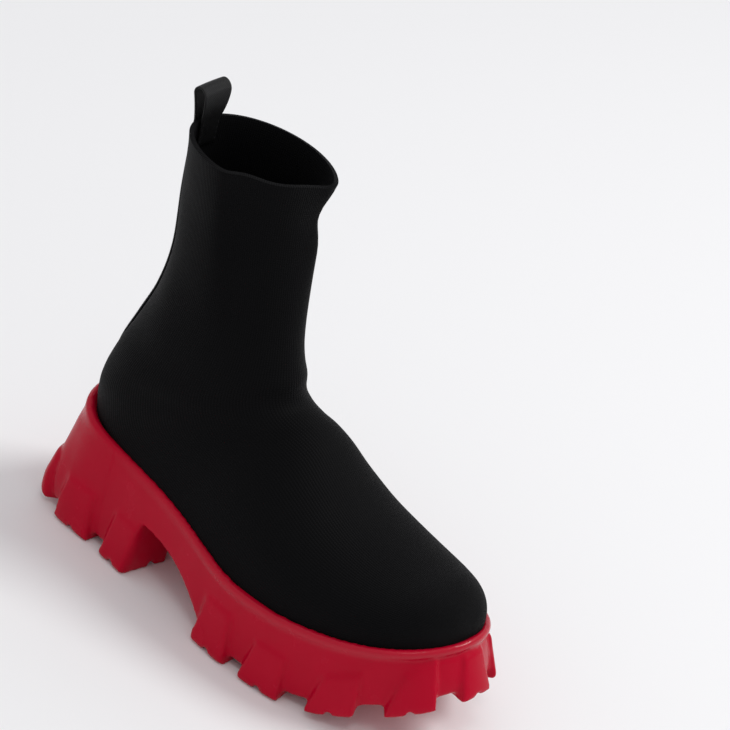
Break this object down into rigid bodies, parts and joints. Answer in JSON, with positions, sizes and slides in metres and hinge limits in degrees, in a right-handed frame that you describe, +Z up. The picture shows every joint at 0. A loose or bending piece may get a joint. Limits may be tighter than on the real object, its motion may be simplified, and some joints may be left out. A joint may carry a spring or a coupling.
{
  "type": "platform ankle boot",
  "caption": "Right platform ankle boot: a close knitted upper, open at the collar, on a thick moulded sole with a heel, an arch and chunky side lugs; pull loop at the back.",
  "frame": {"origin": "on the floor, under the middle of the boot's overall box", "axes": "+X from heel to toe, +Y to the wearer's left (the inner side of this right boot), +Z up"},
  "size_m": [0.2856, 0.1176, 0.2665],
  "materials": {
    "sole_rubber": "semi-matte moulded",
    "upper_knit": "matte fine knit",
    "insole_cloth": "matte cloth",
    "webbing": "woven, slightly glossy"
  },
  "bodies": {
    "root": {"unit_sole": "sole_rubber", "upper": "upper_knit", "insole": "insole_cloth", "back_tape_loop": "webbing"}
  },
  "joints": []
}
